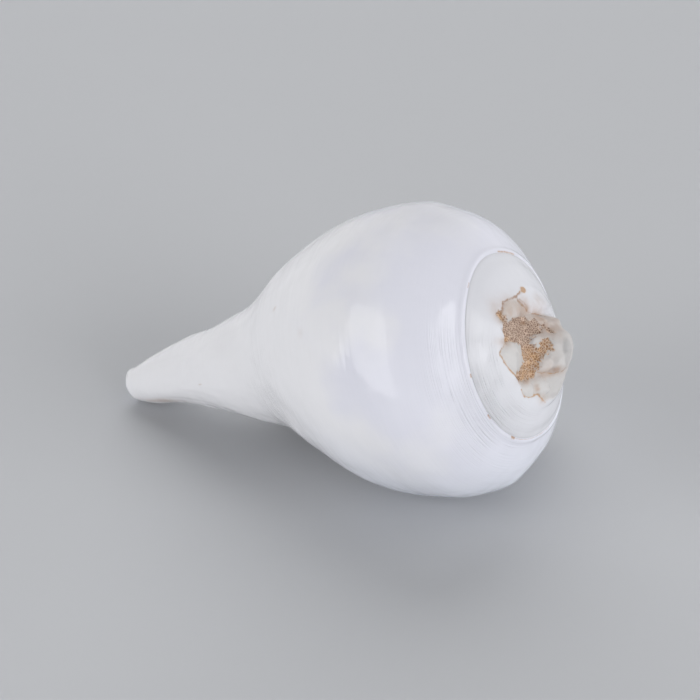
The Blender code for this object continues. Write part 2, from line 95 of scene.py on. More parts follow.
# The worn apex, in millimetres across it: x towards the front, y downwards.
apex = {
    "plateau": 5.4, "drop": 0.012,
    # the crest across the top: its rise at each y, and the share of it at each x
    "crest": ((-14, 0), (-11, 1.0), (-9, 0.5), (-7.5, 3.9), (-6, 4.5), (-5, 5.2), (-4, 6.3), (-3, 6.9),
              (-2, 7.2), (-0.5, 7.3), (1.5, 6.9), (3.5, 6.3), (5.5, 5.5), (8, 4.8), (10.5, 4.4),
              (13, 3.2), (15, 0)),
    "across": ((-15.5, 0), (-13, 0.12), (-11, 0.38), (-9, 0.76), (-7, 1), (-5, 0.93), (-3, 0.68),
               (-1, 0.4), (1, 0.18), (3, 0.05), (5.5, 0)),
    # where the rings of the mesh end, and how far in, from 0 to 1, they are evenly spaced
    "middle": (-6.0, 0.0), "ringsEvenBy": 0.5,
    "dip": (4.4, -1.0, 5.0, 6.0, -1.0),                    # place, half widths, rise
    # how the top takes up the ramp's slope at its rim, and over how many columns that is evened out
    "rimReach": 2.2, "rimFades": 1.4, "rimSmoothing": 12,
    # the edge of the worn hollow
    "edge": ((4.7, -14.0), (7.2, -13.8), (9.8, -12.7), (10.9, -11.9), (12.0, -10.8), (13.6, -9.8),
             (13.3, -8.3), (13.1, -6.0), (13.5, -3.9), (14.3, -2.4), (15.1, -1.0), (14.8, 0.9),
             (13.8, 2.2), (12.6, 3.7), (11.3, 4.7), (10.3, 5.7), (9.9, 7.0), (9.4, 8.4), (8.5, 9.9),
             (6.6, 10.6), (4.1, 10.3), (2.9, 10.1), (1.4, 11.2), (0.0, 12.1), (-3.0, 11.8), (-7.0, 9.5),
             (-10.5, 6.0), (-12.0, 1.0), (-11.5, -4.0), (-9.5, -7.5), (-6.0, -9.3), (-2.0, -9.6),
             (1.0, -9.9), (2.0, -10.9), (3.2, -12.4)),
    "edgeStep": 0.25, "edgeWidth": 0.6,
    "roughness": 0.14, "roughnessSize": 1.6,
    # edges and lines wander: sizes of the lumps, and how far they move a place
    "wanderSizes": (2.4, 0.8), "wideWander": (0.45, -0.4), "fineWander": 0.2,
    # hummocks in the hollow: place, half widths, rise
    "hummocks": ((10.6, 0.4, 4.4, 3.4, 0.6), (8.2, -11.0, 4.4, 2.6, 0.6), (1.0, -3.0, 1.6, 1.2, 0.6),
                 (-0.5, -7.9, 3.2, 1.6, 0.8), (0.2, 3.0, 2.2, 2.0, 0.9), (6.6, 8.4, 3.0, 2.3, 0.7),
                 (1.6, 8.4, 2.6, 2.8, 1.0), (-3.4, 2.5, 2.4, 2.6, 0.5)),
    "hummockRoundness": 0.9,
    "betweenShade": 0.6, "betweenUpTo": 0.45,              # shade between the hummocks
    # stained lines: how dark each is, then its points
    "lines": (
        (1.0, (4.7, -14.0), (7.2, -13.8), (9.8, -12.7), (10.9, -11.9), (11.6, -10.9), (12.1, -9.6),
         (11.6, -8.7)),
        (0.8, (4.7, -14.0), (3.2, -14.6), (1.6, -15.2)),
        (1.1, (4.7, -14.0), (4.2, -13.0), (3.0, -11.8), (1.9, -10.7), (1.0, -9.9)),
        (0.7, (3.6, -13.6), (2.2, -12.4), (1.2, -11.4)),
        (0.7, (1.0, -9.9), (-1.8, -9.4), (-4.4, -9.0), (-5.6, -8.2)),
        (0.9, (13.6, -3.4), (14.2, -2.2), (15.0, -0.9), (14.7, 0.9), (13.8, 2.1), (12.6, 3.7),
         (11.3, 4.6), (10.3, 5.6), (9.9, 6.6)),
        (0.8, (9.4, 8.2), (8.5, 9.8), (6.6, 10.5), (4.1, 10.2), (2.9, 10.0), (1.4, 11.2), (0.1, 12.1)),
        (0.35, (1.9, 4.6), (0.0, 5.1), (-2.1, 5.3), (-4.0, 5.0), (-5.2, 4.2)),
        (1.6, (4.3, -7.5), (3.0, -7.4)),
        (1.8, (10.7, 5.1), (9.7, 5.9)),
    ),
    "lineHalfWidth": 0.28, "lineDepth": 0.15,
    # the pitted deposit: both ends and radius of each run of it
    "deposit": ((11.2, -6.1, 1.4, -6.0, 2.1), (7.5, -8.0, 3.0, -7.8, 1.2), (10.5, -4.4, 3.6, -3.4, 1.3),
                (4.2, -3.0, 4.0, 0.5, 1.6), (0.1, -5.5, 1.6, -6.0, 1.0), (-1.0, -2.2, -0.9, -0.6, 1.1),
                (-0.5, -0.4, 1.8, 0.8, 1.1), (2.6, -0.5, 3.6, 3.6, 1.9), (3.9, 4.8, 9.4, 4.9, 1.25),
                (5.0, 2.6, 7.4, 3.8, 1.0), (12.2, -10.2, 11.4, -8.8, 0.95), (13.0, -3.9, 11.0, -4.2, 0.7),
                (-1.2, -6.6, -1.6, -6.2, 0.5), (-2.6, -5.2, -2.9, -4.4, 0.5)),
    "depositDepth": 0.3, "depositFromTo": (-0.6, 0.3),
    # tan stains round it, the last a warm painted shade: place, half widths, strength
    "tints": ((8.2, -11.0, 4.6, 2.8, 0.75), (2.5, -10.6, 2.8, 2.8, 1.0), (-2.4, -6.2, 1.2, 0.9, 0.8),
              (-2.0, -8.2, 4.8, 2.2, 1.0), (12.6, -9.4, 1.3, 1.5, 0.7), (12.6, -3.4, 2.4, 1.3, 1.0),
              (-2.0, -5.4, 3.6, 2.4, 1.0), (0.2, 3.4, 2.8, 2.6, 0.3), (-1.0, 5.1, 3.6, 1.0, 0.9),
              (6.5, 6.2, 3.6, 1.0, 1.0), (3.2, 8.5, 0.6, 1.0, 1.0), (1.0, 11.2, 1.6, 1.0, 0.7),
              (-2.2, 0.4, 1.4, 2.6, 0.1), (13.2, -12.0, 1.8, 2.2, 0.2), (4.7, -9.4, 1.8, 1.2, 0.6),
              (-2.2, 4.6, 1.4, 0.7, 1.0), (-5.3, -12.4, 3.2, 1.8, 0.35)),
    # greyer places and painted shade, crisp at the front and fading behind; the first two are painted
    # shade, on the knob's facet and at a hummock's edge: place, half widths, strength
    "greysAndShades": ((-4.9, 0.8, 1.2, 3.8, 1.7), (9.2, 1.5, 1.3, 2.5, 0.7), (4.2, -9.2, 1.8, 1.2, 0.8),
              (1.0, -3.0, 1.6, 1.1, 0.8), (-2.8, 4.6, 2.0, 1.2, 0.7), (-2.9, 1.2, 1.3, 3.0, -1.0)),
    "greyShadeEdge": (0.75, 1.15), "greyShadeBehind": 0.35,
    "amber": (0.6, -15.5, 1.75, 1.15, 1.3),                # a drop of stain: place, half widths, strength
    # the stain is orange below these y, and in more places: place, half widths, strength
    "rustFromTo": (-3.5, 0.5),
    "orange": ((-1.6, -1.8, 1.8, 2.2, 1.0), (12.4, -3.8, 1.6, 1.0, 1.0), (12.6, -9.4, 1.3, 1.6, 0.8),
               (10.2, 5.5, 1.2, 1.0, -1.0), (-4.0, 4.6, 2.0, 1.2, -1.0)),
    "markReach": 3,                                        # distances are kept up to this
}


def smooth(value, low, high):
    t = np.clip((value - low) / (high - low), 0, 1)
    return t * t * (3 - 2 * t)


def between(value, fromTo, fades):
    return smooth(value, *fromTo) * (1 - smooth(value, *fades))


def hump(distance, halfWidth):
    return np.exp(-(distance / halfWidth) ** 2)


def curveThrough(points, values):
    # a smooth curve through the points, as the second number at each first number
    x, y = np.array(points, float).T
    slope = np.gradient(y, x)
    i = np.clip(np.searchsorted(x, values, side="right") - 1, 0, len(x) - 2)
    step = x[i + 1] - x[i]
    t = np.clip((values - x[i]) / step, 0, 1)
    before = (2 * t**3 - 3 * t**2 + 1) * y[i] + (t**3 - 2 * t**2 + t) * step * slope[i]
    after = (3 * t**2 - 2 * t**3) * y[i + 1] + (t**3 - t**2) * step * slope[i + 1]
    return before + after


def whorl(azimuth, depth):
    # radius and height of a whorl's outside, which grows by a fixed ratio in each turn
    turns = (shell["outlineAt"] - azimuth) / 360
    grows = 1 - smooth(depth, *shell["growthFades"])
    body = smooth(depth, *shell["girthFromTo"])
    girth = math.log(shell["sutureGrowth"]) * (1 - body) + math.log(shell["girthGrowth"]) * body
    radius = curveThrough(shell["outline"], depth) * np.exp(girth * turns * grows)
    start = shell["virtualApex"]
    height = start - (start + depth) * shell["depthGrowth"] ** (turns * grows)
    for mound in shell["swellings"]:
        radius = radius + bell(azimuth, depth, mound)
    seen = between(azimuth, shell["weltFromTo"], shell["weltFades"])
    welt = shell["weltHeight"] * seen * hump(depth - shell["weltDepth"], shell["weltHalfWidth"])
    groove = shell["grooveDepth"] * seen * hump(depth, shell["grooveHalfWidth"])
    rise = welt - groove
    return radius + shell["weltOutward"] * rise, height + shell["weltUpward"] * rise


def bodyWhorl(azimuth, depth):
    # as whorl, with its upper edge drawn onto the whorl before it near the lip
    radius, height = whorl(azimuth, depth)
    seatRadius, seatHeight = whorl(360.0, shell["sutureDepth"])
    edgeRadius, edgeHeight = whorl(0.0, 0.0)
    share = (1 - smooth(azimuth, 0, shell["seatedBack"])) * (1 - smooth(depth, 0, shell["seatedDown"]))
    return radius + share * (seatRadius - edgeRadius), height + share * (seatHeight - edgeHeight)


def placed(azimuth, radius, height):
    # points in the shell's own frame, with the neck's bend and the spire's lean
    angle = np.radians(azimuth - shell["outlineAt"])
    bend = smooth(-height, *shell["neckFromTo"])
    lean = 1 - smooth(-height, 0, shell["spireTo"])
    x = radius * np.cos(angle) + shell["neckBend"][0] * bend + shell["spireLean"][0] * lean
    y = radius * np.sin(angle) + shell["neckBend"][1] * bend + shell["spireLean"][1] * lean
    return np.stack([x, y, height + 0 * radius], axis=-1)


def innerWall(azimuth, depth):
    # the whorl before the lip, which turns in to the columella and its plaits
    radius, height = whorl(azimuth, depth)
    canal = smooth(-height, *shell["canalFromTo"])
    (starts, ends), (startsSooner, endsSooner) = shell["turnsInFromTo"], shell["soonerAtCanal"]
    turnedIn = smooth(azimuth, starts - startsSooner * canal, ends - endsSooner * canal)
    columella = np.minimum(curveThrough(shell["columella"], -height), radius)
    radius = radius + turnedIn * (columella - radius)
    inside = between(azimuth, shell["plaitsFromTo"], shell["plaitsFades"])
    for plait in shell["plaits"]:
        radius = radius + inside * shell["plaitHeight"] * hump(-height - plait, shell["plaitHalfWidth"])
    return radius, height


def innerRadiusAt(azimuth, height, samples=400):
    depths = np.linspace(0, shell["outline"][-1][0], samples)
    found = np.empty_like(height)
    for place in np.ndindex(height.shape):
        radius, heights = innerWall(azimuth[place] + 360, depths)
        found[place] = np.interp(-height[place], -heights, radius)
    return found


def outerWall(azimuth, depth, opened):
    # the inside of the last whorl's wall, closing onto the inner wall where opened is 0
    step = 0.5
    radius, height = bodyWhorl(azimuth, depth)
    radiusUp, heightUp = bodyWhorl(azimuth, np.maximum(depth - step, 0))
    radiusDown, heightDown = bodyWhorl(azimuth, np.minimum(depth + step, shell["outline"][-1][0]))
    along = np.hypot(radiusDown - radiusUp, heightDown - heightUp)
    slopes = 1 - smooth(depth, *shell["wallSlopeFades"])
    wall = shell["wallBody"] + (shell["wallTip"] - shell["wallBody"]) * smooth(depth, *shell["wallFromTo"])
    radius = radius - wall * (heightUp - heightDown) / along
    height = height - wall * (radiusDown - radiusUp) / along * slopes
    behind = innerRadiusAt(azimuth, height) + shell["leastGap"]
    return np.maximum(behind + opened * (radius - behind), behind), height


def distanceToLines(x, y, lines):
    best = np.full(np.shape(x), 1e9)
    for line in lines:
        for (ax, ay), (bx, by) in zip(line[:-1], line[1:]):
            length = (bx - ax) ** 2 + (by - ay) ** 2
            t = np.clip(((x - ax) * (bx - ax) + (y - ay) * (by - ay)) / length, 0, 1)
            best = np.minimum(best, np.hypot(x - ax - t * (bx - ax), y - ay - t * (by - ay)))
    return best


def grain(x, y, z, size, octaves=3):
    # smooth noise between about -1 and 1, with lumps of the given size
    places = zip(np.ravel(x), np.ravel(y), np.ravel(z))
    flat = [noise.fractal(Vector(place) / size, 1.0, 2.0, octaves) for place in places]
    return np.array(flat).reshape(np.shape(x))


def inHollow(x, y):
    # distance inside the worn hollow's edge, below 0 outside it
    outline = apex["edge"] + apex["edge"][:1]
    crossings = 0
    for (ax, ay), (bx, by) in zip(outline[:-1], outline[1:]):
        crossings = crossings + ((y < ay) != (y < by)) * (x < ax + (y - ay) / (by - ay + 1e-9) * (bx - ax))
    return distanceToLines(x, y, [outline]) * np.where(crossings % 2, 1, -1)


def dome(x, y, mound):
    # a mound from 0 at its edge to its rise in the middle
    placeX, placeY, halfX, halfY, rise = mound
    distance = ((x - placeX) / halfX) ** 2 + ((y - placeY) / halfY) ** 2
    return rise * np.maximum(1 - distance, 0) ** apex["hummockRoundness"]


def bell(x, y, mound):
    # a mound that fades out on every side
    placeX, placeY, halfX, halfY, rise = mound
    return rise * np.exp(-((x - placeX) / halfX) ** 2 - ((y - placeY) / halfY) ** 2)


def bells(x, y, mounds):
    return sum(bell(x, y, mound) for mound in mounds)


def greyAndShadePatch(x, y, mound):
    # grey tone and painted shade, crisp at its front edge and fading towards the back
    placeX, placeY, halfX, halfY, rise = mound
    within = 1 - smooth(np.hypot((x - placeX) / halfX, (y - placeY) / halfY), *apex["greyShadeEdge"])
    behind = apex["greyShadeBehind"]
    return rise * within * (behind + (1 - behind) * smooth(x, placeX - halfX, placeX + halfX))


def shaken(x, y):
    # the same place moved a little, so that edges and lines wander
    wideSize, fineSize = apex["wanderSizes"]
    wide, fine = grain(x, y, 0 * x, wideSize), grain(x, y, 0 * x + 5, fineSize)
    wideX, wideY = apex["wideWander"]
    return x + wideX * wide + apex["fineWander"] * fine, y + wideY * wide + apex["fineWander"] * fine


def apexHeight(x, y):
    height = apex["plateau"] - apex["drop"] * (x * x + y * y)
    height = height + curveThrough(apex["crest"], y) * np.maximum(curveThrough(apex["across"], x), 0)
    return height + bell(x, y, apex["dip"])


def worn(x, y):
    # what the worn hollow is like at a place: distances to its marks, stains and relief
    movedX, movedY = shaken(x, y)
    within = inHollow(movedX, movedY)
    # cubes, so that mounds blend where they meet
    hummocks = sum(dome(movedX, movedY, mound) ** 3 for mound in apex["hummocks"]) ** (1 / 3)
    toLine = far
    for strength, *line in apex["lines"]:
        toLine = np.minimum(toLine, distanceToLines(movedX, movedY, [line]) / strength)
    toDeposit = far
    for ax, ay, bx, by, radius in apex["deposit"]:
        toRun = distanceToLines(movedX, movedY, [((ax, ay), (bx, by))]) - radius
        toDeposit = np.minimum(toDeposit, toRun)
    rough = apex["roughness"] * grain(x, y, 0 * x, apex["roughnessSize"], 4)
    relief = smooth(within, 0, apex["edgeWidth"]) * (hummocks - apex["edgeStep"] + rough)
    relief = relief - apex["lineDepth"] * hump(toLine, apex["lineHalfWidth"])
    relief = relief - apex["depositDepth"] * (1 - smooth(toDeposit, *apex["depositFromTo"]))
    amber = bell(x, y, apex["amber"])
    tint = 1 - np.prod([1 - bell(movedX, movedY, mound) for mound in apex["tints"]], axis=0)
    rust = smooth(y, *apex["rustFromTo"]) + amber + bells(x, y, apex["orange"])
    # painted shade between the hummocks, on the knob's facet and at a hummock's edge, with the grey
    # patches
    low = 1 - smooth(hummocks, 0, apex["betweenUpTo"])
    shade = smooth(within, 0, 1) * apex["betweenShade"] * low
    shade = shade + sum(greyAndShadePatch(x, y, mound) for mound in apex["greysAndShades"])
    reach = apex["markReach"]
    return {"relief": relief, "shade": shade, "tint": tint, "rust": np.clip(rust, 0, 1),
            "hollow": np.clip(within, -reach, reach), "deposit": np.clip(toDeposit, -reach, reach),
            "crack": np.minimum(toLine, 1 - amber)}


def rowDepths():
    # depths of all rows, and the numbers of the rows at the suture and at the aperture's corner
    near = [depth for rows in shell["fineRows"] for depth in np.arange(*rows)] + list(shell["sutureRows"])
    middle = list(np.linspace(*shell["cornerRows"])[1:])
    below = [depth for rows in shell["bodyRows"] for depth in np.linspace(*rows)[1:]]
    return np.array(near + middle + below), len(near) - 1, len(near) + len(middle) - 1


depths, sutureRow, cornerRow = rowDepths()
bodyColumns = 2 * shell["columns"] + 1
points, faces, marks = [], [], []     # marks: azimuth, depth, kind
kinds = {"body": 0, "ramp": 1, "apex": 2, "inside": 3}


def addPoints(places, azimuth, depth, kind):
    flat = np.asarray(places).reshape(-1, 3)
    first = len(points)
    points.extend(flat)
    shape = np.shape(places)[:-1]
    around, under = (np.broadcast_to(value, shape).ravel() for value in (azimuth, depth))
    marks.extend(zip(around, under, [kinds[kind]] * len(flat)))
    return np.arange(first, first + len(flat)).reshape(shape)


def addGrid(ids):
    for upper, lower in zip(ids[:-1], ids[1:]):
        for corner in zip(upper[:-1], upper[1:], lower[1:], lower[:-1]):
            ring = list(dict.fromkeys(int(n) for n in corner))
            if len(ring) > 2:
                faces.append(ring)


def at(ids):
    return np.array([points[int(n)] for n in ids])


def zipRows(left, right):
    # triangles between two rows that have different numbers of points
    i = j = 0
    while i < len(left) - 1 or j < len(right) - 1:
        here = at([left[i], right[j]])
        ahead = at([left[min(i + 1, len(left) - 1)], right[min(j + 1, len(right) - 1)]])
        leftIsNext = np.linalg.norm(ahead[0] - here[1]) <= np.linalg.norm(ahead[1] - here[0])
        if j == len(right) - 1 or (i < len(left) - 1 and leftIsNext):
            faces.append([int(left[i]), int(left[i + 1]), int(right[j])])
            i += 1
        else:
            faces.append([int(left[i]), int(right[j + 1]), int(right[j])])
            j += 1


def addBody():
    # the outside of the body whorl, from the lip back to the whorl that it grew over
    azimuth, depth = np.meshgrid(np.linspace(0, 360, bodyColumns + 1), depths, indexing="ij")
    radius, height = bodyWhorl(azimuth, depth)
    innerRadius, innerHeight = innerWall(azimuth, depth)
    radius = np.where(azimuth > 180, innerRadius, radius)
    height = np.where(azimuth > 180, innerHeight, height)
    degrees, down = shell["undulationSize"]
    waves = grain(azimuth / degrees, depth / down, 0 * depth + 3, 1.0, 2)
    calm = between(depth, shell["wavesFromTo"], shell["wavesFades"])
    calm = calm * between(azimuth, shell["wavesBackFromTo"], shell["wavesBackFades"])
    radius = radius + shell["undulation"] * waves * calm
    body = addPoints(placed(azimuth, radius, height), azimuth, depth, "body")
    body[0, 0] = body[-1, sutureRow]
    addGrid(body)
    return body


def addRamp(body):
    # the band of the whorl above that still shows, between two sutures
    azimuths = np.linspace(360, 720, bodyColumns + 1)
    rows = depths[: sutureRow + 1]
    azimuth, depth = np.meshgrid(azimuths, rows, indexing="ij")
    radius, height = whorl(azimuth, depth)
    edgeRadius, edgeHeight = bodyWhorl(azimuths - 360, 0 * azimuths)
    share = rows / rows[-1]
    seen = between(azimuths, shell["rampFromTo"], shell["rampFades"])
    lift = shell["grooveDepth"] * seen                      # the ramp itself stands above the groove
    edgeRadius = edgeRadius + shell["weltOutward"] * lift
    edgeHeight = edgeHeight + shell["weltUpward"] * lift
    radius = radius + share * (edgeRadius - radius[:, -1])[:, None]
    height = height + share * (edgeHeight - height[:, -1])[:, None]
    toEdge = rows[-1] - rows
    groove = lift[:, None] * hump(toEdge, shell["grooveHalfWidth"])
    step = shell["stepRise"] * smooth(toEdge, *shell["stepFromTo"])
    trough = shell["trough"] * hump(toEdge - shell["troughAt"], shell["troughHalfWidth"])
    radius = radius - shell["grooveInward"] * groove
    height = height - shell["grooveDownward"] * groove + seen[:, None] * (step - trough)
    ramp = addPoints(placed(azimuth, radius, height)[:, :-1], azimuth[:, :-1], depth[:, :-1], "ramp")
    ramp = np.hstack([ramp, body[:, :1]])
    ramp[0] = body[-1, : sutureRow + 1]
    addGrid(ramp)
    return ramp


def addApex(ramp):
    # the worn top, in rings from the ramp's inner edge to the knob's middle
    lean = np.array(shell["spireLean"])
    edge = np.concatenate([ramp[:, 0], ramp[-1, 1:-1]])
    rim = at(edge)
    rimX, rimY = rim[:, 0] - lean[0], rim[:, 1] - lean[1]
    rest = rim[:, 2] - apexHeight(rimX, rimY)
    rimAzimuth = np.array([marks[n][0] for n in edge])
    girth = np.hypot(rimX, rimY)
    angle = np.unwrap(np.arctan2(rimY, rimX))
    even = angle[bodyColumns] + 2 * math.pi * (np.arange(len(edge)) - bodyColumns) / len(edge)
    middleX, middleY = apex["middle"]
    # how much more steeply the ramp comes up to its inner edge than the top goes on from it
    before = np.concatenate([at(ramp[:, 2]), rim[bodyColumns + 1:]])
    run = np.maximum(np.hypot(*(before - rim)[:, :2].T), 0.1)           # never 0
    inset = 0.02
    nearX, nearY = rimX * (1 - inset), rimY * (1 - inset)
    onward = (apexHeight(nearX, nearY) - apexHeight(rimX, rimY)) / (inset * girth)
    onward = onward - apex["rimFades"] * rest / girth
    steeper = (rim[:, 2] - before[:, 2]) / run - onward
    steeper[bodyColumns + 1:] = 0
    half = apex["rimSmoothing"]
    around = (np.arange(-half, len(edge) + half)) % len(edge)
    steeper = np.convolve(steeper[around], np.ones(2 * half + 1) / (2 * half + 1), "valid")
    rings = [edge]
    for ring in range(1, shell["apexRings"]):
        share = 1 - ring / shell["apexRings"]
        spread = smooth(1 - share, 0, apex["ringsEvenBy"])
        turn = angle + (even - angle) * spread
        reach = share * (girth + (girth.mean() - girth) * spread)
        x = reach * np.cos(turn) + (1 - share) * middleX
        y = reach * np.sin(turn) + (1 - share) * middleY
        inward = (1 - share) * girth
        z = apexHeight(x, y) + rest * share ** apex["rimFades"]
        z = z + steeper * inward * np.exp(-inward / apex["rimReach"])
        places = np.stack([x + lean[0], y + lean[1], z], axis=-1)
        rings.append(addPoints(places, rimAzimuth, -inward, "apex"))
    middle = [[middleX + lean[0], middleY + lean[1], float(apexHeight(middleX, middleY))]]
    rings.append(np.repeat(addPoints(middle, 0, 0, "apex"), len(edge)))
    addGrid(np.array([np.append(ring, ring[0]) for ring in rings]))


def apertureAzimuth(turn, depth, shape, lap):
    # how far back the aperture's wall is, which is less at the canal
    azimuth = turn * shell["apertureTurn"]
    for _ in range(4):                  # settles in a few rounds
        height = shape(azimuth + lap, depth)[1]
        canal = smooth(-height, *shell["canalTurnFromTo"])
        azimuth = turn * (shell["apertureTurn"] + (shell["canalTurn"] - shell["apertureTurn"]) * canal)
    return azimuth + lap


def addAperture(body):
    # the two walls of the aperture, which close on each other at its inner end
    turns = np.linspace(0, 1, shell["columns"] + 1)
    turn, depth = np.meshgrid(turns, depths[cornerRow:], indexing="ij")
    azimuth = apertureAzimuth(turn, depth, whorl, 360)
    inner = addPoints(placed(azimuth, *innerWall(azimuth, depth)), azimuth, depth, "inside")
    inner[0] = body[-1, cornerRow:]
    addGrid(inner)
    turn, depth = np.meshgrid(turns, depths[cornerRow - sutureRow + 1:], indexing="ij")
    azimuth = apertureAzimuth(turn, depth, bodyWhorl, 0)
    closing = np.clip((turn - shell["closesFrom"]) / (1 - shell["closesFrom"]), 0, 1)
    wall = outerWall(azimuth, depth, np.sqrt(1 - closing**2))
    outer = addPoints(placed(azimuth, *wall), azimuth, depth, "inside")
    addGrid(outer)
    addGrid(np.stack([inner[:, 0], outer[:, 0]]))
    zipRows(outer[-1], inner[-1])
    return inner, outer


def addRim(outside, inside, lead, bulge, first=None):
    # a rounded rim between two edges with the same number of points
    a, b = at(outside), at(inside)
    joined = outside == inside
    rows = [outside]
    for step in range(1, shell["rimRows"]):
        angle = math.pi * step / shell["rimRows"]
        share = 0.5 - 0.5 * math.cos(angle)
        row = addPoints(a + (b - a) * share + lead * bulge[:, None] * math.sin(angle), 0, 0, "body")
        row[joined] = outside[joined]
        if first is not None:
            row[0] = first[step]
        rows.append(row)
    rows.append(inside)
    addGrid(np.stack(rows))
    return [row[-1] for row in rows]


def addRims(body, inner, outer):
    # the outer lip's edge
    inside = np.concatenate([body[-1, sutureRow: cornerRow + 1], outer[0]])
    ahead = at(body[0]) - at(body[1])
    ahead[:, 2] = 0
    ahead /= np.linalg.norm(ahead, axis=1)[:, None]
    bulge = shell["lipBulge"] * np.linalg.norm(at(body[0]) - at(inside), axis=1)
    count = np.arange(len(inside))
    top, bottom = shell["lipRows"]
    bulge *= np.clip(count / top, 0, 1) * np.clip((count[::-1] + 1) / bottom, 0, 1)
    last = addRim(body[0], inside, ahead, bulge)

    # the blunt end of the canal
    inside = np.concatenate([outer[:, -1], inner[::-1, -1]])
    bulge = shell["tipBulge"] * np.linalg.norm(at(body[:, -1]) - at(inside), axis=1)
    bulge = np.minimum(bulge, shell["tipBulgeMost"])
    count = np.arange(len(bulge))
    ends, slot = shell["tipColumns"]
    fromSlot = np.abs(count - shell["columns"] - 0.5)
    bulge *= np.clip(count[::-1] / ends, 0, 1) * np.clip(fromSlot / slot, 0, 1)
    addRim(body[:, -1], inside, np.array([0, 0, -1.0]), bulge, last)


def layDown(places):
    # turns the shell to how it lies, and stands it on the floor
    upward = math.radians(shell["uppermost"] - shell["outlineAt"])
    tilt = math.radians(shell["tilt"])
    x, y, z = places.T
    up = x * math.cos(upward) + y * math.sin(upward)
    aside = x * math.sin(upward) - y * math.cos(upward)
    along = z * math.cos(tilt) - up * math.sin(tilt)
    above = z * math.sin(tilt) + up * math.cos(tilt)
    laid = np.stack([along, aside, above], axis=-1)
    return laid + np.array([*shell["middleFrom"], -laid[:, 2].min()])


body = addBody()
ramp = addRamp(body)
addApex(ramp)
addRims(body, *addAperture(body))
used = np.array(sorted({n for face in faces for n in face}))
number = np.zeros(len(points), int)
number[used] = np.arange(len(used))
own = np.array(points)[used]
azimuths, unders, kindOf = np.array(marks, float)[used].T

# the worn hollow's relief, on the top and on the ramp round it
onTop = (kindOf == kinds["apex"]) | (kindOf == kinds["ramp"])
wornTop = worn(*(own[onTop, :2] - shell["spireLean"]).T)
own[onTop, 2] += wornTop["relief"]
mesh = bpy.data.meshes.new("conchShell")
mesh.from_pydata((layDown(own) * mm).tolist(), [], [[int(number[n]) for n in face] for face in faces])
conch = bpy.data.objects.new("conchShell", mesh)
bpy.context.collection.objects.link(conch)
print("shell skin:", len(mesh.vertices), "points,", sum(len(face) - 2 for face in faces), "triangles")

# Marks outside the worn hollow. Places are azimuth and depth, then half widths and strength.
bodyMarks = {
    # stains in the suture: azimuth, half width in millimetres, strength
    "sutureStains": ((97, 4.5, 0.4), (148, 0.9, 0.3), (203, 0.7, 0.6), (233, 1.0, 0.6), (262, 0.9, 0.9),
                     (285, 11, 0.2)),
    "stainDepth": 0.1, "sutureDegree": 0.45,                              # millimetres in one degree
    "tints": ((257, 104, 9, 6, 0.7), (259, 96.5, 1.5, 0.5, 1.2), (210, 84.8, 1.0, 0.6, 0.5),
              (161.3, 50, 0.9, 0.5, 0.5), (177.6, 39, 1.8, 1.0, 0.15)),
    "tintRust": 0.55,
    "shades": ((243, 94, 3, 11, 0.5),),
    # shade of the suture: strength, half width
    "sutureShades": ((0.25, 0.8), (0.4, 2.5)),
    # the dark line in the crease at the neck
    "creaseLine": ((186, 60), (201, 57), (212, 54), (220, 50), (224, 45)), "creaseDegree": 0.35,
    "creaseShade": 0.4, "creaseHalfWidth": 0.8, "creaseSeen": (210, 54.5, 14, 7, 1.0),
    # where fine growth lines show: on the near side of the ramp and shoulder, and at the crease
    "linesAt": 224, "linesHalfWidth": 40, "rampLinesFromTo": (0, 1.5),
    "shoulderLines": 0.8, "shoulderDepth": 2.5, "shoulderHalfWidth": 4.5,
    "creaseLines": (212, 60, 30, 9, 0.45), "growthDegrees": 10,
}


def addMark(name, values):
    layer = mesh.attributes.new(name, "FLOAT", "POINT")
    layer.data.foreach_set("value", np.ascontiguousarray(values, dtype=np.float32))


def onWholeShell(name, elsewhere):
    whole = np.full(len(own), float(elsewhere))
    whole[onTop] = wornTop[name]
    return whole


def toSutureStain():
    # distance to the nearest stain in the suture
    nearest = far
    for place, halfWidth, strength in bodyMarks["sutureStains"]:
        beside = np.maximum(np.abs(azimuths - place) * bodyMarks["sutureDegree"] - halfWidth, 0)
        toStain = np.hypot(beside, unders - bodyMarks["stainDepth"]) / strength
        nearest = np.minimum(nearest, toStain + far * (kindOf > 0))
    return nearest


def shading():
    # how shaded each point is: in the suture and the worn hollow, in the crease and on the canal
    toSuture = np.where(kindOf == kinds["ramp"], shell["sutureDepth"] - unders, far)
    inSuture = sum(strength * hump(toSuture, width) for strength, width in bodyMarks["sutureShades"])
    degree = bodyMarks["creaseDegree"]
    line = [(azimuth * degree, depth) for azimuth, depth in bodyMarks["creaseLine"]]
    toCrease = distanceToLines(azimuths * degree, unders, [line])
    inCrease = bodyMarks["creaseShade"] * hump(toCrease, bodyMarks["creaseHalfWidth"])
    inCrease = inCrease * bell(azimuths, unders, bodyMarks["creaseSeen"])
    below = onBody * (bells(azimuths, unders, bodyMarks["shades"]) + inCrease)
    return np.maximum(inSuture, onWholeShell("shade", 0)) + below


def growthLining():
    # how much the fine growth lines show at each point
    near = hump(azimuths % 360 - bodyMarks["linesAt"], bodyMarks["linesHalfWidth"])
    onRamp = smooth(unders, *bodyMarks["rampLinesFromTo"])
    fromShoulder = unders - bodyMarks["shoulderDepth"]
    onShoulder = bodyMarks["shoulderLines"] * hump(fromShoulder, bodyMarks["shoulderHalfWidth"])
    inCrease = bell(azimuths, unders, bodyMarks["creaseLines"]) * onBody
    return near * np.where(kindOf > 0, onRamp, onShoulder) + inCrease


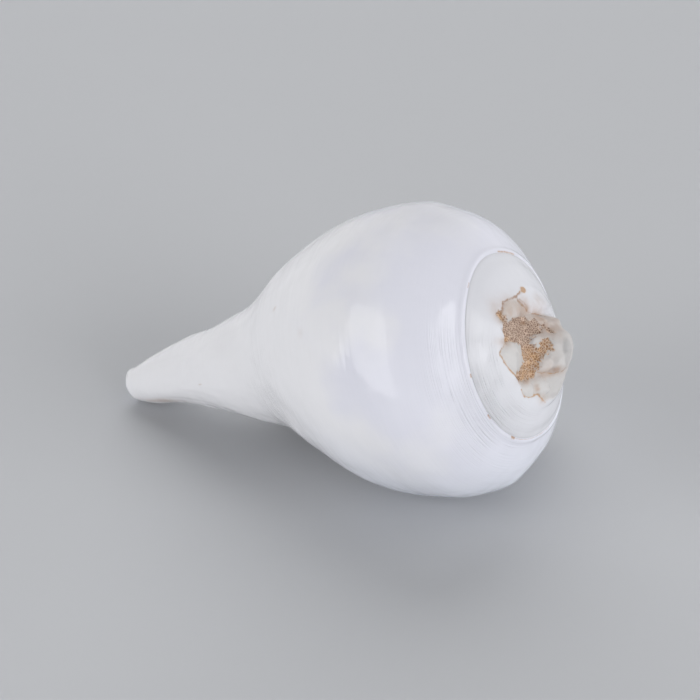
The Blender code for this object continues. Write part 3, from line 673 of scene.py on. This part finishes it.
onBody = (kindOf == kinds["body"]) * 1.0
addMark("deposit", onWholeShell("deposit", apex["markReach"]))
addMark("hollow", onWholeShell("hollow", -apex["markReach"]))
addMark("tint", onWholeShell("tint", 0) + onBody * bells(azimuths, unders, bodyMarks["tints"]))
addMark("rust", np.maximum(onWholeShell("rust", 0), bodyMarks["tintRust"] * onBody))
addMark("crack", np.minimum(onWholeShell("crack", far), toSutureStain()))
addMark("shade", shading())
addMark("lined", growthLining())
addMark("ramp", onTop.astype(float))
addMark("inside", (kindOf == kinds["inside"]).astype(float))
# for noise that follows the growth: a unit is so many degrees along it, or a millimetre across it
growth = np.stack([azimuths / bodyMarks["growthDegrees"], unders, 0 * unders], axis=-1)
layer = mesh.attributes.new("growth", "FLOAT_VECTOR", "POINT")
layer.data.foreach_set("vector", np.ascontiguousarray(growth, dtype=np.float32).ravel())

bpy.ops.object.select_all(action="DESELECT")
bpy.context.view_layer.objects.active = conch
conch.select_set(True)
bpy.ops.object.mode_set(mode="EDIT")
bpy.ops.mesh.select_all(action="SELECT")
bpy.ops.mesh.normals_make_consistent(inside=False)
bpy.ops.object.mode_set(mode="OBJECT")
bpy.ops.object.shade_smooth()
print("shell marks laid")

# Finish of the shell: colours, gloss and fine relief. Noise is given as scale, detail, and the
# values that count as 0 and as 1, and each pair is two such values: of a distance or a depth in
# millimetres, of a height in metres, or of a share of a pore's width.
finish = {
    "coolWhite": (0.66, 0.665, 0.735, 1), "warmWhite": (0.73, 0.73, 0.755, 1),
    "neckFromTo": (26, 56), "neckNoise": (38, 3, 0.3, 0.7), "neckWander": 32,
    # painted light: the lower side above the neck is made lighter and bluer, standing in for bluish fill
    # light from below
    "paintedUnderLight": (0.70, 0.725, 0.80, 1), "underHeights": (0.034, 0.004), "underDepths": (60, 35),
    "rampWhite": (0.645, 0.65, 0.69, 1), "innerColour": (0.86, 0.72, 0.58, 1),
    "wornWhite": (0.565, 0.552, 0.548, 1), "hollowEdge": (0.0, 0.5),
    "tan": (0.44, 0.32, 0.25, 1), "blotches": (420, 4, 0.3, 0.7), "leastBlotch": 0.5,
    "shade": (0.15, 0.15, 0.16, 1), "shadeStrength": 0.2,
    # the pitted deposit
    "greyDeposit": (0.60, 0.46, 0.37, 1), "rustDeposit": (0.66, 0.44, 0.275, 1),
    "pore": (0.25, 0.165, 0.125, 1), "rustPore": (0.33, 0.19, 0.10, 1), "poreSize": 0.62,
    "poreEdge": (0.04, 0.17), "poreNoise": (900, 2, 0.0, 0.55), "poreDepth": 0.12,
    "fleck": (0.56, 0.435, 0.35, 1), "flecks": (650, 2, 0.35, 0.65),
    "raggedNoise": (1100, 3, 0.2, 0.8), "depositRagged": 0.9, "depositEdge": (0.25, -0.25),
    # stained lines
    "line": (0.30, 0.18, 0.11, 1), "amber": (0.42, 0.24, 0.10, 1), "lineOpacity": 0.8,
    "lineRagged": 0.2, "lineEdge": (0.42, 0.05),
    # growth lines and waves along them: scale, detail, and how they are drawn out along the growth
    "growthLines": (3.4, 2, 0.05), "acrossGrowth": 1.1, "linesNoise": (130, 2, 0.2, 0.7),
    "lineRelief": 0.65, "lineShade": 0.10,
    "waves": (0.55, 2, 0.6), "waviness": 0.065, "dimpleNoise": (190, 1, 0.0, 1.0), "dimples": 0.12,
    "gloss": 0.06, "rampGloss": 0.16, "wornGloss": 0.5, "chalk": 0.85,
}


def shellMaterial():
    material = bpy.data.materials.new("polishedShell")
    material.use_nodes = True
    nodes, links = material.node_tree.nodes, material.node_tree.links
    shader = nodes["Principled BSDF"]

    def node(kind, **settings):
        made = nodes.new(kind)
        made.location = (len(nodes) * 40 - 1900, 0)         # side by side in one row
        for name, value in settings.items():
            setattr(made, name, value)
        return made

    def feed(socket, value):
        if isinstance(value, (tuple, float, int)):
            socket.default_value = value
        else:
            links.new(value, socket)

    def mark(name):
        return node("ShaderNodeAttribute", attribute_name=name).outputs["Fac"]

    def mixColour(factor, a, b):
        made = node("ShaderNodeMix", data_type="RGBA")
        feed(made.inputs[0], factor)
        feed(made.inputs[6], a)         # 6 and 7 are the sockets of its two colours
        feed(made.inputs[7], b)
        return made.outputs[2]

    def calc(operation, a, b=0.0, c=0.0):
        made = node("ShaderNodeMath", operation=operation)
        for socket, value in zip(made.inputs, (a, b, c)):
            feed(socket, value)
        return made.outputs[0]

    def ramped(value, low, high):
        made = node("ShaderNodeMapRange", interpolation_type="SMOOTHSTEP")
        feed(made.inputs["Value"], value)
        made.inputs["From Min"].default_value = low
        made.inputs["From Max"].default_value = high
        return made.outputs["Result"]

    def noiseAt(vector, scale, detail):
        made = node("ShaderNodeTexNoise")
        links.new(vector, made.inputs["Vector"])
        made.inputs["Scale"].default_value = scale
        made.inputs["Detail"].default_value = detail
        return made.outputs["Fac"]

    def patches(scale, detail, low, high):
        # smooth patches between 0 and 1
        return ramped(noiseAt(place, scale, detail), low, high)

    def growthLines(scale, detail, along):
        # noise drawn out along the direction of growth
        stretch = node("ShaderNodeMapping")
        links.new(growthNode.outputs["Vector"], stretch.inputs["Vector"])
        stretch.inputs["Scale"].default_value = (along, finish["acrossGrowth"], 1)
        return noiseAt(stretch.outputs["Vector"], scale, detail)

    growthNode = node("ShaderNodeAttribute", attribute_name="growth")
    split = node("ShaderNodeSeparateXYZ")
    links.new(growthNode.outputs["Vector"], split.inputs["Vector"])
    depthOf = split.outputs["Y"]
    place = node("ShaderNodeTexCoord").outputs["Object"]
    above = node("ShaderNodeSeparateXYZ")
    links.new(place, above.inputs["Vector"])
    heightOf = above.outputs["Z"]

    onRamp, inside, tinted, rust = mark("ramp"), mark("inside"), mark("tint"), mark("rust")
    # the marks' edges, made ragged
    ragged = calc("SUBTRACT", patches(*finish["raggedNoise"]), 0.5)
    hollow = ramped(mark("hollow"), *finish["hollowEdge"])
    toDeposit = calc("MULTIPLY_ADD", ragged, finish["depositRagged"], mark("deposit"))
    deposit = ramped(toDeposit, *finish["depositEdge"])
    toLine = calc("MULTIPLY_ADD", ragged, finish["lineRagged"], mark("crack"))
    lineMask = ramped(toLine, *finish["lineEdge"])

    # warmer towards the neck, more lavender towards the spire
    downShell = calc("MULTIPLY_ADD", patches(*finish["neckNoise"]), finish["neckWander"], depthOf)
    colour = mixColour(ramped(downShell, *finish["neckFromTo"]), finish["coolWhite"], finish["warmWhite"])
    # painted light: lighter and bluer low on the shell, above the neck
    low, aboveNeck = ramped(heightOf, *finish["underHeights"]), ramped(depthOf, *finish["underDepths"])
    colour = mixColour(calc("MULTIPLY", low, aboveNeck), colour, finish["paintedUnderLight"])
    colour = mixColour(onRamp, colour, finish["rampWhite"])
    colour = mixColour(inside, colour, finish["innerColour"])
    colour = mixColour(hollow, colour, finish["wornWhite"])
    least = finish["leastBlotch"]
    blotches = calc("MULTIPLY_ADD", patches(*finish["blotches"]), 1 - least, least)
    colour = mixColour(calc("MULTIPLY", tinted, blotches), colour, finish["tan"])
    lined = calc("MULTIPLY", mark("lined"), growthLines(*finish["growthLines"]))
    lined = calc("MULTIPLY", lined, patches(*finish["linesNoise"]))
    shaded = calc("MULTIPLY", mark("shade"), finish["shadeStrength"])
    shaded = calc("MULTIPLY_ADD", lined, finish["lineShade"], shaded)
    colour = mixColour(shaded, colour, finish["shade"])

    cells = node("ShaderNodeTexVoronoi", feature="DISTANCE_TO_EDGE")
    links.new(place, cells.inputs["Vector"])
    cells.inputs["Scale"].default_value = 1 / (finish["poreSize"] * mm)
    poreMask = ramped(cells.outputs["Distance"], *finish["poreEdge"])
    poreMask = calc("MULTIPLY", poreMask, patches(*finish["poreNoise"]))
    depositTone = mixColour(rust, finish["greyDeposit"], finish["rustDeposit"])
    depositTone = mixColour(patches(*finish["flecks"]), depositTone, finish["fleck"])
    poreTone = mixColour(rust, finish["pore"], finish["rustPore"])
    colour = mixColour(deposit, colour, mixColour(poreMask, depositTone, poreTone))
    lineTone = mixColour(rust, finish["line"], finish["amber"])
    colour = mixColour(calc("MULTIPLY", lineMask, finish["lineOpacity"]), colour, lineTone)
    links.new(colour, shader.inputs["Base Color"])

    rough = calc("MULTIPLY_ADD", onRamp, finish["rampGloss"] - finish["gloss"], finish["gloss"])
    rough = calc("MAXIMUM", rough, calc("MULTIPLY", hollow, finish["wornGloss"]))
    rough = calc("MAXIMUM", rough, calc("MULTIPLY", calc("MAXIMUM", deposit, lineMask), finish["chalk"]))
    links.new(rough, shader.inputs["Roughness"])

    # relief in millimetres
    waves = calc("MULTIPLY", growthLines(*finish["waves"]), finish["waviness"])
    relief = calc("MULTIPLY_ADD", patches(*finish["dimpleNoise"]), finish["dimples"], waves)
    relief = calc("MULTIPLY_ADD", lined, finish["lineRelief"], relief)
    relief = calc("MULTIPLY_ADD", calc("MULTIPLY", poreMask, deposit), -finish["poreDepth"], relief)
    bump = node("ShaderNodeBump")
    bump.inputs["Distance"].default_value = mm
    bump.inputs["Strength"].default_value = 1
    links.new(relief, bump.inputs["Height"])
    links.new(bump.outputs["Normal"], shader.inputs["Normal"])
    return material


mesh.materials.append(shellMaterial())
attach(conch, "root")
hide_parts("shell")
print("shell finished")

# Floor, lights and camera. Azimuth 0 is in front of the shell and 90 to its right. The floor, the
# glints' sizes and their distance are in metres, the other lengths in millimetres.
studio = {
    "floorColour": (0.50, 0.51, 0.53, 1), "floorRoughness": 0.9, "floorSize": 6.0,
    "horizonColour": (0.60, 0.60, 0.61, 1), "zenithColour": (0.05, 0.05, 0.052, 1), "horizonUpTo": 0.6,
    # soft light from wide parts of the sky: azimuth, elevation, spread, strength
    "skyLights": {"sideLight": (80, 14, 50, 2.45), "lowFill": (15, 10, 50, 0.5),
                  "lowLeft": (-45, 8, 50, 2.45), "backLight": (-151, 40, 60, 1.8),
                  "topRight": (125, 45, 50, 0.55)},
    # boxes that show only as reflections: azimuth, elevation, distance, width, height, watts, roll
    "glints": {"frontGlint": (-25, 21, 0.75, 0.74, 0.95, 3.2, 33),
               "sideGlint": (85, 31, 0.75, 0.28, 0.60, 1.2, -38)},
    "glintsAround": (10, 0, 30),
    "pivot": (6.876, -2.690, 24.976), "azimuth": 28.84, "elevation": 31.51, "roll": -0.69,
    "distance": 540, "aside": -4.13, "above": 4.32, "lens": 108.5,
}
bpy.ops.mesh.primitive_plane_add(size=studio["floorSize"], location=(0, 0, 0))
floor = bpy.context.object
floor.name = "paleFloor"
floorPaint = bpy.data.materials.new("paleFloor")
floorPaint.use_nodes = True
floorShader = floorPaint.node_tree.nodes["Principled BSDF"]
floorShader.inputs["Base Color"].default_value = studio["floorColour"]
floorShader.inputs["Roughness"].default_value = studio["floorRoughness"]
floorShader.inputs["Specular IOR Level"].default_value = 0
floor.data.materials.append(floorPaint)


def studioSky():
    # bright at the horizon and dark overhead
    world = bpy.data.worlds.new("studio")
    world.use_nodes = True
    nodes, links = world.node_tree.nodes, world.node_tree.links
    direction, parts = nodes.new("ShaderNodeTexCoord"), nodes.new("ShaderNodeSeparateXYZ")
    rise, blend = nodes.new("ShaderNodeMapRange"), nodes.new("ShaderNodeMix")
    rise.interpolation_type = "SMOOTHSTEP"
    rise.inputs["From Max"].default_value = studio["horizonUpTo"]
    blend.data_type = "RGBA"
    blend.inputs[6].default_value = studio["horizonColour"]
    blend.inputs[7].default_value = studio["zenithColour"]
    links.new(direction.outputs["Generated"], parts.inputs["Vector"])
    links.new(parts.outputs["Z"], rise.inputs["Value"])
    links.new(rise.outputs["Result"], blend.inputs[0])
    links.new(blend.outputs[2], nodes["Background"].inputs["Color"])
    return world


def towards(azimuth, elevation):
    turn, rise = math.radians(azimuth), math.radians(elevation)
    return Vector((math.sin(turn) * math.cos(rise), -math.cos(turn) * math.cos(rise), math.sin(rise)))


def facing(direction, roll=0.0):
    # the turn that points a lamp or a camera at the shell from that direction
    return direction.to_track_quat("Z", "Y").to_matrix() @ Matrix.Rotation(math.radians(roll), 3, "Z")


def addLight(kind, name):
    bpy.ops.object.light_add(type=kind)
    light = bpy.context.object
    light.name = name
    return light


def skyLight(name, azimuth, elevation, spread, strength):
    light = addLight("SUN", name)
    light.rotation_euler = facing(towards(azimuth, elevation)).to_euler()
    light.data.angle = math.radians(spread)
    light.data.energy = strength
    light.visible_glossy = False


def glint(name, azimuth, elevation, distance, width, height, watts, roll):
    light = addLight("AREA", name)
    light.data.shape = "RECTANGLE"
    light.data.size, light.data.size_y = width, height
    light.data.energy = watts
    light.visible_diffuse = False
    toLight = towards(azimuth, elevation)
    light.location = Vector(studio["glintsAround"]) * mm + toLight * distance
    light.rotation_euler = facing(toLight, roll).to_euler()


bpy.context.scene.world = studioSky()
for name, values in studio["skyLights"].items():
    skyLight(name, *values)
for name, values in studio["glints"].items():
    glint(name, *values)

back = towards(studio["azimuth"], studio["elevation"])
turned = facing(back, studio["roll"])
right, up = turned.col[0], turned.col[1]
camera = bpy.data.objects.new("camera", bpy.data.cameras.new("camera"))
bpy.context.collection.objects.link(camera)
shift = right * studio["aside"] + up * studio["above"]
camera.location = (Vector(studio["pivot"]) + back * studio["distance"] + shift) * mm
camera.rotation_euler = turned.to_euler()
camera.data.lens = studio["lens"]
camera.data.sensor_width = 36
camera.data.clip_start = 0.01
bpy.context.scene.camera = camera
bpy.context.scene.view_settings.view_transform = "Standard"
print("floor, lights and camera set")
